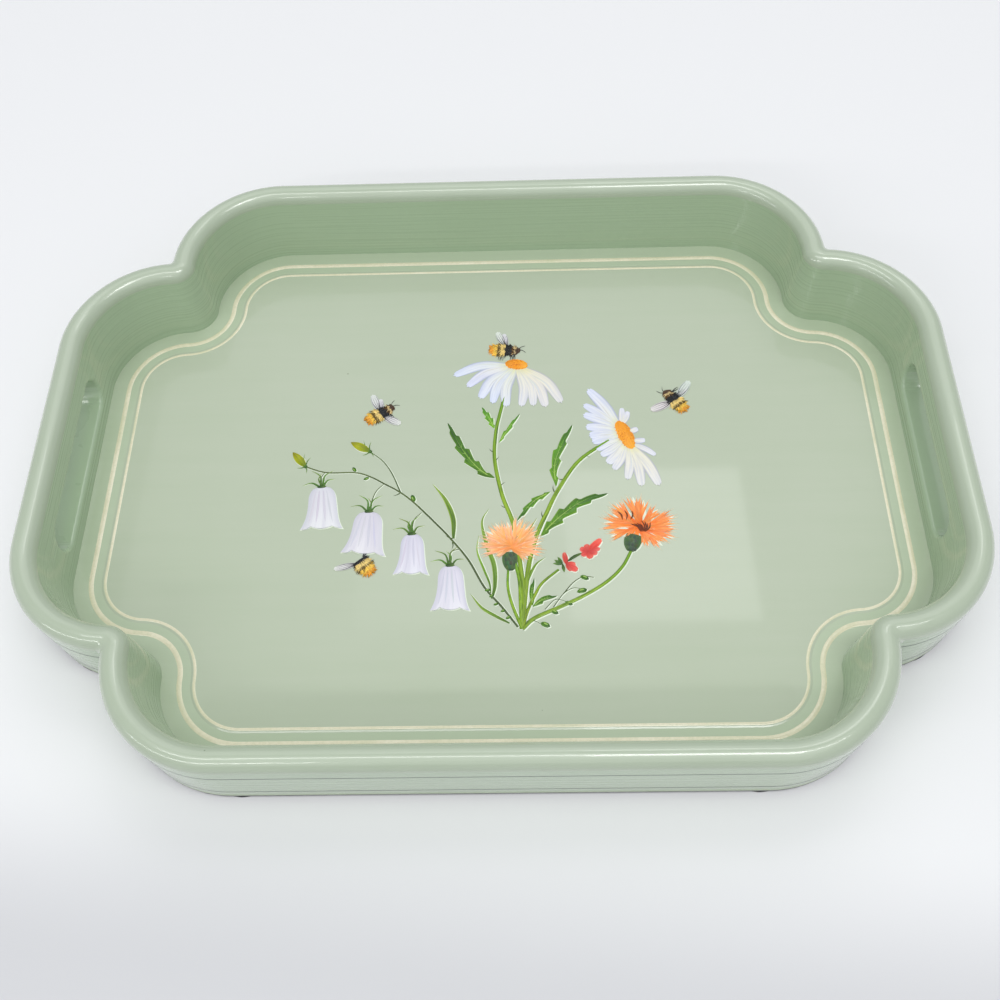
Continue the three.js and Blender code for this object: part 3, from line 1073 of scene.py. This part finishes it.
BEE_BANDS = (
    # from the tail to this place, in mm ahead of the middle: colour
    (-6.3, srgb(238, 166, 52)), (-4.2, srgb(250, 205, 84)), (-2.7, srgb(112, 92, 44)),
    (-0.2, srgb(243, 214, 132)), (3.9, srgb(32, 33, 36)), (4.8, srgb(92, 64, 26)),
    (5.9, srgb(226, 200, 142)), (9.0, srgb(84, 62, 46)),
)
BEES = (
    # middle, heading, wings (root ahead, root aside, heading, length, width), legs and if it is half hidden
    ((3.6, 78), -4, ((-0.5, 3, 118, 10.5, 4.2), (0.5, 3, 104, 8.5, 3.2)), (-3, -1.5, 3.5, 5), False),
    ((-62.6, 37.4), 34,
     ((0.5, 2.5, 78, 11, 4.4), (0.5, -2.5, -62, 10.5, 4.4), (1.5, 2.2, 60, 7, 3)), (4,), False),
    ((93, 42.5), 128,
     ((0.5, 2.5, 76, 12, 4.8), (0.5, -2.5, -72, 13, 4.8), (1.5, -2, -92, 8, 3)), (5,), False),
    ((-68, -50.5), 132, ((1.0, 2.6, 62, 11, 3.4), (1.5, -2.8, -66, 8.5, 2.4)), (), True),
)
BEE_TAIL, BEE_HEAD, BEE_HIDDEN_HEAD = -8, 8.0, 1.4
BEE_BARS = 26
BEE_HAIRS = 260


def bee_half_width(x):
    """Half the width of a bee's body at a place ahead of its middle."""
    if x > 4.8:
        return 2.5 * math.sqrt(max(1 - ((x - 5.4) / 2.7) ** 2, 0))
    return 4.3 * math.sqrt(max(1 - ((x + 0.6) / 7.8) ** 2, 0)) * (1 - 0.02 * x)


def band_colour(x):
    for limit, colour in BEE_BANDS:
        if x < limit:
            return colour[:3]
    return BEE_BANDS[-1][1][:3]


def paint_bee(coats, centre, heading, wings, legs, hidden):
    centre = Vector(centre)
    ahead, aside = aim(heading), aim(heading + 90)

    def spot(x, y):
        return centre + ahead * x + aside * y

    for x, y, turn, length, width in wings:
        root = spot(x, y)
        tip = root + aim(heading + turn, length)
        coats["wings"].stroke([root, tip], width, petal_width, 0.12, 0.3, near(0.04), blunt, rows=16)
        for k in (-0.36, -0.12, 0.14, 0.38):
            side = aim(heading + turn + 90, width * k)
            end = tip - aim(heading + turn, 1.2) + side * 0.7
            vein = [root + side * 0.3, root.lerp(tip, 0.5) + side * 1.05, end]
            weight = 0.26 if abs(k) < 0.3 else 0.4
            coats["bee_lines"].stroke(vein, weight, hair_width, 0.04, 0.44, near(0.2), columns=4)
    for x in legs:
        for reach, turn in ((3.4, -100), (3.6, -74)):
            knee = spot(x, -3) + aim(heading + turn, reach * 0.6)
            foot = knee + aim(heading - 96, reach * 0.6)
            coats["bee_lines"].stroke([spot(x, -2.5), knee, foot], 0.62, hair_width, 0.16, 0.3, columns=4)
    if not hidden:
        for turn in (38, -22):
            feeler = arched(spot(7, 0.6), spot(7, 0.6) + aim(heading + turn, 4.5), 0.14)
            coats["bee_lines"].stroke(feeler, 0.3, hair_width, 0.08, 0.3, columns=4)
    top = BEE_HIDDEN_HEAD if hidden else BEE_HEAD
    for i in range(BEE_BARS):
        x = BEE_TAIL + (top - BEE_TAIL) * (i + 0.5) / BEE_BARS
        reach = bee_half_width(x) * 0.98
        bar = [spot(x - 0.2, -reach), spot(x + 0.2, reach)]
        coats["bee_fur"].stroke(bar, 1.0, oval_width, 0.5, 0.24, band_colour(x), columns=4, rows=8)
    for _ in range(BEE_HAIRS):
        x = random.uniform(BEE_TAIL, top)
        y = random.uniform(-1, 1)
        root = spot(x, y * bee_half_width(x) * 0.92)
        turn = 180 - y * 62 + random.uniform(-22, 22)
        tone = random.choice((0.62, 0.85, 1.0, 1.25))
        tint = tuple(value * tone for value in band_colour(x + random.uniform(-0.5, 0.5)))
        hair = arched(root, root + aim(heading + turn, random.uniform(1.1, 2.1)), random.uniform(-0.15, 0.15))
        rise = 0.3 + 0.42 * (1 - y * y)
        coats["bee_fur"].stroke(hair, 0.46, hair_width, 0.12, rise, tint, rows=4, columns=3)


def paint_flowers():
    white, cool = (228, 228, 224), (186, 192, 212)
    petal = paint("petal white", [(0.0, (222, 220, 168)), (0.22, (228, 228, 214)), (0.6, white),
                                  (1.0, (222, 225, 234))], cool, 0.55, (166, 172, 190), 0.8, (6, 1.1))
    fold = paint("petal fold", [(0.0, (216, 216, 196)), (1.0, (210, 213, 226))], (198, 202, 218))
    disc = paint("daisy disc", [(0.0, (236, 150, 22)), (1.0, (247, 172, 48))], (190, 98, 10), 0.5)
    stem = paint("stem green", [(0.0, (112, 158, 34)), (0.5, (146, 180, 48)), (1.0, (130, 160, 44))],
                 (66, 100, 24), 0.85, (92, 126, 36), 0.8, (3, 9))
    fine = paint("fine stem", [(0.0, (96, 112, 62)), (1.0, (72, 92, 52))], (44, 58, 40), 0.6,
                 grain=(2, 9))
    blade = paint("blade green", [(0.0, (66, 104, 26)), (0.5, (118, 156, 44)), (1.0, (160, 188, 78))],
                  (54, 88, 24), 0.75, (180, 200, 100), 0.6, (3, 3))
    leaf = paint("leaf green", [(0.0, (104, 156, 30)), (0.55, (84, 142, 30)), (1.0, (50, 98, 28))],
                 (40, 82, 20), 0.8, (128, 170, 50), 0.5, (4, 4))
    rib = paint("leaf rib", [(0.0, (166, 196, 92)), (1.0, (140, 178, 84))], (120, 160, 70))
    bell = paint("bell white", [(0.0, (210, 208, 219)), (0.5, (218, 216, 225)), (1.0, (226, 225, 231))],
                 (196, 193, 208), 0.55, (194, 194, 207), 0.6, (5, 0.4))
    bell_fold = paint("bell fold", [(0.0, (202, 199, 212)), (1.0, (210, 208, 219))], (196, 193, 208))
    sepal = paint("sepal green", [(0.0, (66, 104, 40)), (0.5, (96, 136, 56)), (1.0, (160, 186, 96))],
                  (60, 90, 40), 0.5)
    bud = paint("bud green", [(0.0, (98, 122, 14)), (0.6, (166, 170, 20)), (1.0, (136, 128, 20))],
                (84, 100, 14), 0.65, (176, 180, 50), 0.5)
    stripe = paint("bud stripe", [(0.0, (90, 66, 28)), (1.0, (70, 60, 24))], (60, 50, 24))
    peach = paint("thistle peach", [(0.0, (244, 150, 70)), (0.5, (250, 170, 100)), (1.0, (252, 208, 168))],
                  (244, 140, 66), 0.7, (253, 206, 158), 0.5, (4, 2))
    orange = paint("thistle orange", [(0.0, (226, 92, 20)), (0.4, (246, 128, 44)), (1.0, (252, 172, 104))],
                   (232, 92, 24), 0.65, (252, 170, 104), 0.5, (4, 2))
    hair = paint("floret hair", [(0.0, (252, 190, 134)), (1.0, (240, 226, 196))], (250, 180, 120))
    calyx = paint("thistle calyx", [(0.0, (58, 82, 52)), (1.0, (74, 104, 64))], (36, 54, 40), 0.7,
                  (92, 124, 70), 0.5, (5, 5))
    stamen = paint("stamen", [(0.0, (120, 52, 14)), (1.0, (66, 34, 18))], (80, 38, 16))
    red = paint("red petal", [(0.0, (196, 56, 50)), (0.6, (222, 78, 68)), (1.0, (236, 112, 96))],
                (188, 50, 48), 0.6, (240, 130, 110), 0.5, (4, 3))
    fur = paint("bee fur", [(0.0, (240, 240, 240)), (1.0, (255, 255, 255))], (190, 185, 180), 0.4)
    wing = paint("bee wing", [(0.0, (186, 184, 184)), (0.4, (208, 208, 208)), (1.0, (216, 220, 214))],
                 (196, 194, 200), 0.5, (176, 180, 176), 0.6, (3, 2))
    line = paint("bee line", [(0.0, (40, 42, 44)), (1.0, (74, 78, 78))], (30, 30, 34))
    # Pale enamel of the low strokes under the others: a painted highlight along their raised edges.
    lift = paint("painted edge highlight", [(0.0, (216, 226, 206)), (1.0, (226, 234, 216))], (204, 216, 194), 0.4)
    materials = {
        "lift": lift, "stems": stem, "fine_stems": fine, "blades": blade, "leaves": leaf, "ribs": rib,
        "bells": bell, "bell_folds": bell_fold, "bell_lips": petal, "sepals": sepal, "buds": bud,
        "bud_stripes": stripe, "upper_petals": petal, "right_petals": petal, "petal_folds": fold,
        "daisy_discs": disc, "peach_florets": peach, "orange_florets": orange, "floret_hairs": hair,
        "calyces": calyx, "stamens": stamen, "red_petals": red, "bee_fur": fur, "wings": wing,
        "bee_lines": line,
    }
    coats = {name: Coat("paint_" + name, material) for name, material in materials.items()}
    paint_greens(coats)
    paint_bells(coats)
    paint_buds(coats)
    paint_upper_daisy(coats["upper_petals"], coats["petal_folds"], coats["daisy_discs"])
    paint_right_daisy(coats["right_petals"], coats["petal_folds"], coats["daisy_discs"])
    paint_thistles(coats)
    paint_red_flowers(coats)
    for bee in BEES:
        paint_bee(coats, *bee)
    for coat in coats.values():
        coat.finish()


# --- Stage -----------------------------------------------------------------------------------

CAMERA_PLACE = (15.3, -301.5, 501.0)
CAMERA_RIGHT = (0.99953, -0.00153, -0.03074)
CAMERA_UP = (0.01667, 0.86649, 0.49892)
LENS = 40.72

# Lights in metres: name, centre, size, radiance and the degrees it is tipped from straight down.
PANELS = (
    ("ceiling_wide", (0.3, 2.05, 2.4), (3.0, 2.7), 0.66, 0),
    ("ceiling_middle", (0.3, 1.95, 2.4), (2.4, 2.2), 0.66, 0),
    ("ceiling_near", (0.3, 1.82, 2.4), (1.8, 1.7), 0.66, 0),
    ("patch_wide", (0.1, 1.15, 2.39), (1.2, 0.53), 0.6, 0),
    ("patch_near", (0.42, 1.15, 2.38), (0.56, 0.53), 1.5, 0),
    ("overhead", (-0.1, -0.15, 2.42), (2.6, 0.8), 0.5, 0),
    ("front_ceiling", (0.2, -1.3, 2.4), (3.0, 1.2), 0.75, 22),
    ("front_window", (0.0, -2.3, 1.7), (3.0, 1.3), 0.45, 54),
    ("front_strip", (0.0, -0.45, 2.4), (3.0, 0.24), 5.5, 0),
    ("front_lamp", (0.5, -0.62, 2.39), (0.7, 0.5), 6, 0),
    ("low_strip", (-1.75, -1.1, 1.05), (2.8, 0.07), 12, 46),
)

# White table with a painted shade, a little darker in front and to the left in place of the room's soft
# shade: where it turns paler, in metres from front to back.
TABLE_SHADE_RAMP = (-0.25, -0.165)
TABLE_SHADED_FRONT = (0.6, 0.602, 0.618, 1)
TABLE_BACK = (0.8, 0.802, 0.81, 1)

ROOM_LIGHT = (0.93, 0.96, 1.0, 1.0)
ROOM_STRENGTH = 0.53


def place_camera():
    right, up = Vector(CAMERA_RIGHT), Vector(CAMERA_UP)
    back = right.cross(up)
    camera = bpy.data.objects.new("camera", bpy.data.cameras.new("camera"))
    bpy.context.scene.collection.objects.link(camera)
    turn = Matrix((right, up, back)).transposed().to_4x4()
    camera.matrix_world = Matrix.Translation(Vector(CAMERA_PLACE) * MM) @ turn
    camera.data.lens = LENS
    camera.data.clip_start = 0.01
    bpy.context.scene.camera = camera
    return camera


def place_panel(name, centre, size, radiance, tip):
    light = bpy.data.lights.new(name, "AREA")
    light.shape = "RECTANGLE"
    light.size, light.size_y = size
    light.energy = radiance * math.pi * size[0] * size[1]
    panel = bpy.data.objects.new(name, light)
    bpy.context.scene.collection.objects.link(panel)
    panel.location = centre
    panel.rotation_euler.x = math.radians(tip)
    return panel


def place_table():
    bpy.ops.mesh.primitive_plane_add(size=6)
    table = bpy.context.object
    table.name = "white_table"
    shader = Shader("white table", Specular_IOR_Level=0.25)
    grain = shader.noise(shader.place(), 24, 3)
    split = shader.node("SeparateXYZ")
    shader.feed(split.inputs[0], shader.place())
    # Painted shade: the table darkens towards the front, and a little towards the left, in place of the
    # room's shade.
    depth = shader.math("ADD", split.outputs["Y"], shader.math("MULTIPLY", split.outputs["X"], 0.1))
    back = shader.between(depth, *TABLE_SHADE_RAMP)
    shader.colour(shader.mix(back, TABLE_SHADED_FRONT, TABLE_BACK))
    shader.roughness(shader.between(grain, 0.2, 0.8, 0.55, 0.65))
    table.data.materials.append(shader.material)
    return table


def light_room():
    world = bpy.data.worlds.new("room")
    bpy.context.scene.world = world
    world.use_nodes = True
    sky = world.node_tree.nodes["Background"]
    sky.inputs["Color"].default_value = ROOM_LIGHT
    sky.inputs["Strength"].default_value = ROOM_STRENGTH


build_walls()
build_floor()
build_pads()
paint_flowers()

light_room()
staged = [place_camera(), place_table()]
staged += [place_panel(*panel) for panel in PANELS]
bpy.context.scene.view_settings.view_transform = "Standard"
